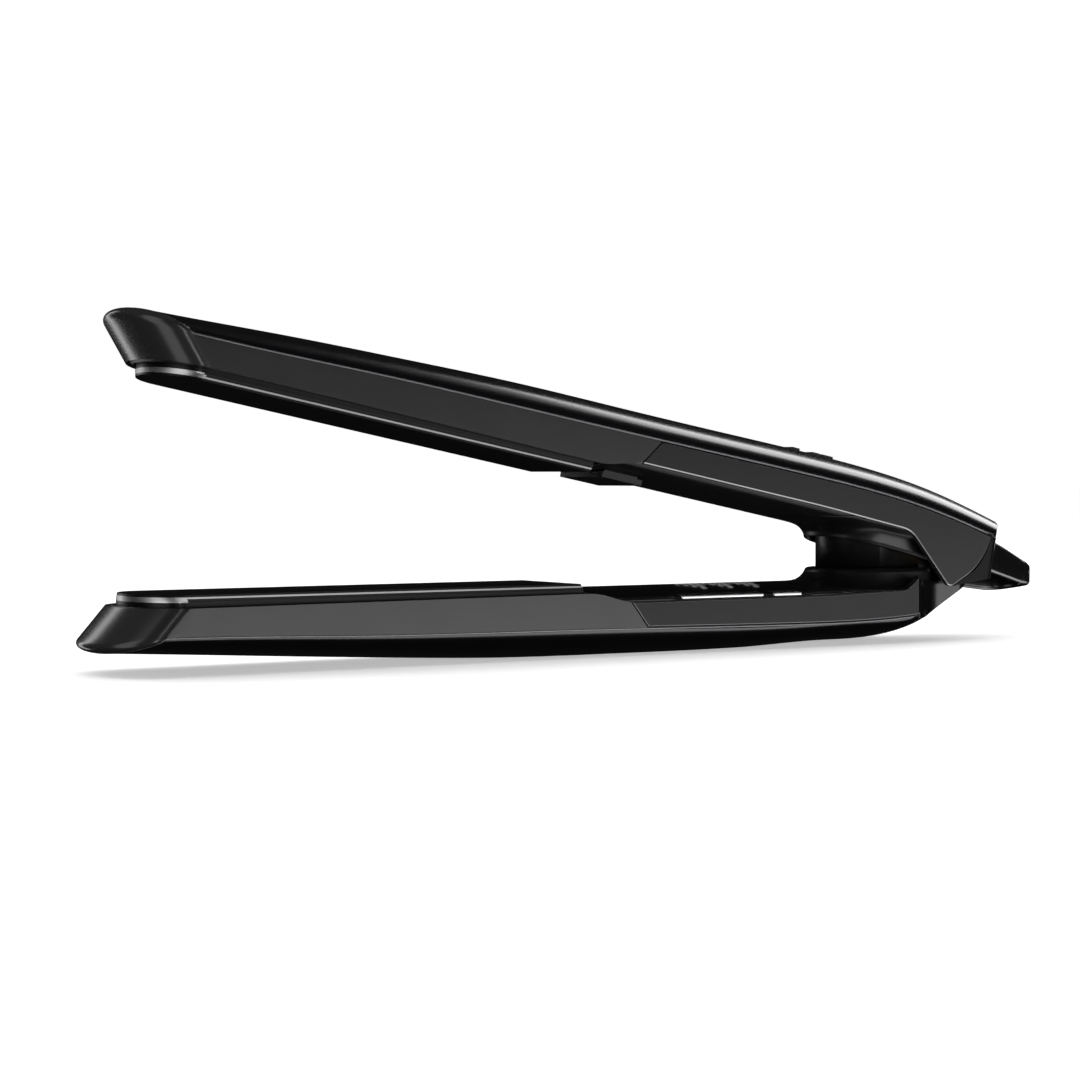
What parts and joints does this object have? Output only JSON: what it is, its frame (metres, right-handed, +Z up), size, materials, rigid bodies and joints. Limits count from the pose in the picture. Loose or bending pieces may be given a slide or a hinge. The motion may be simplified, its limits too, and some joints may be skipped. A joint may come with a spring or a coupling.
{
  "type": "flat iron",
  "caption": "Slim hair straightener: two hinged tapering arms with long floating heated plates, side push buttons, a hinge housing and a rear hanging loop.",
  "frame": {"origin": "centre of the small flat on the lower arm's underside that the iron rests on", "axes": "+X towards the hinge and loop, -X towards the tips, +Y away from the buttons, +Z up from the lower arm to the upper arm"},
  "size_m": [0.2712, 0.0322, 0.0781],
  "materials": {
    "piano_black": "polished",
    "satin_black": "satin lacquer",
    "panel_black": "fine satin",
    "inner_black": "polished",
    "tray_black": "fine matt",
    "stripe_metal": "dark chrome",
    "plate_coating": "black ceramic coating",
    "button_metal": "brushed bright",
    "grille_grey": "satin",
    "heater_ceramic": "matt",
    "steel": "turned",
    "bronze": "turned",
    "rubber_black": "matt",
    "board_green": "solder mask",
    "nylon_white": "matt"
  },
  "bodies": {
    "lower_arm": {"lower_outer_shell": "piano_black", "lower_front_panel": "satin_black", "lower_rear_panel_near": "panel_black", "lower_rear_panel_far": "panel_black", "lower_pinstripe": "stripe_metal", "lower_inner_cover": "inner_black", "lower_plate_tray": "tray_black", "hinge_block": "inner_black", "hinge_bushes": "bronze", "hinge_spring": "steel", "control_board": "board_green", "board_screws": "steel", "ioniser_module": "nylon_white", "ion_grille": "grille_grey", "button_bezel": "inner_black", "button_switches": "tray_black", "lower_plate_cushions": "rubber_black"},
    "upper_arm": {"upper_outer_shell": "piano_black", "upper_front_panel": "satin_black", "upper_rear_panel_near": "panel_black", "upper_rear_panel_far": "panel_black", "upper_pinstripe": "stripe_metal", "upper_inner_cover": "inner_black", "upper_plate_tray": "tray_black", "upper_rear_trim": "panel_black", "cord_gland": "rubber_black", "hanging_loop": "inner_black", "hinge_bracket": "steel", "hinge_pin": "steel", "spring_seat": "tray_black", "upper_grip_marks": "piano_black", "thermal_fuse": "nylon_white", "cord_clamp": "nylon_white", "bracket_screws": "steel", "upper_bumper": "tray_black", "upper_plate_cushions": "rubber_black"},
    "lower_plate_float": {"lower_plate": "plate_coating", "lower_heater": "heater_ceramic", "lower_plate_sensor": "nylon_white", "lower_heater_clips": "steel"},
    "upper_plate_float": {"upper_plate": "plate_coating", "upper_heater": "heater_ceramic", "upper_plate_sensor": "nylon_white", "upper_heater_clips": "steel"},
    "power_button": {"power_button": "button_metal"},
    "temperature_rocker": {"temperature_rocker": "button_metal"}
  },
  "joints": [
    {"name": "arm_hinge", "type": "hinge", "parent": "lower_arm", "child": "upper_arm", "pos_m": [0.095, 0, 0.0194], "axis": [0, -1, 0], "range_deg": [0, 11.9], "stiffness_Nm_per_rad": 1.5, "springref_deg": -17.19, "deforming": ["hinge_spring"]},
    {"name": "lower_plate_slide", "type": "slide", "parent": "lower_arm", "child": "lower_plate_float", "axis": [0, 0, -1], "range_m": [0, 0.0009], "stiffness_N_per_m": 8000, "springref_m": -0.0005, "deforming": ["lower_plate_cushions"]},
    {"name": "upper_plate_slide", "type": "slide", "parent": "upper_arm", "child": "upper_plate_float", "axis": [0.1896, 0, 0.9819], "range_m": [0, 0.0009], "stiffness_N_per_m": 8000, "springref_m": -0.0005, "deforming": ["upper_plate_cushions"]},
    {"name": "power_button_press", "type": "slide", "parent": "lower_arm", "child": "power_button", "axis": [0, 1, 0], "range_m": [0, 0.0006], "stiffness_N_per_m": 2000, "springref_m": -0.0005},
    {"name": "temperature_rocker_press", "type": "slide", "parent": "lower_arm", "child": "temperature_rocker", "axis": [0, 1, 0], "range_m": [0, 0.0006], "stiffness_N_per_m": 2000, "springref_m": -0.0005}
  ]
}
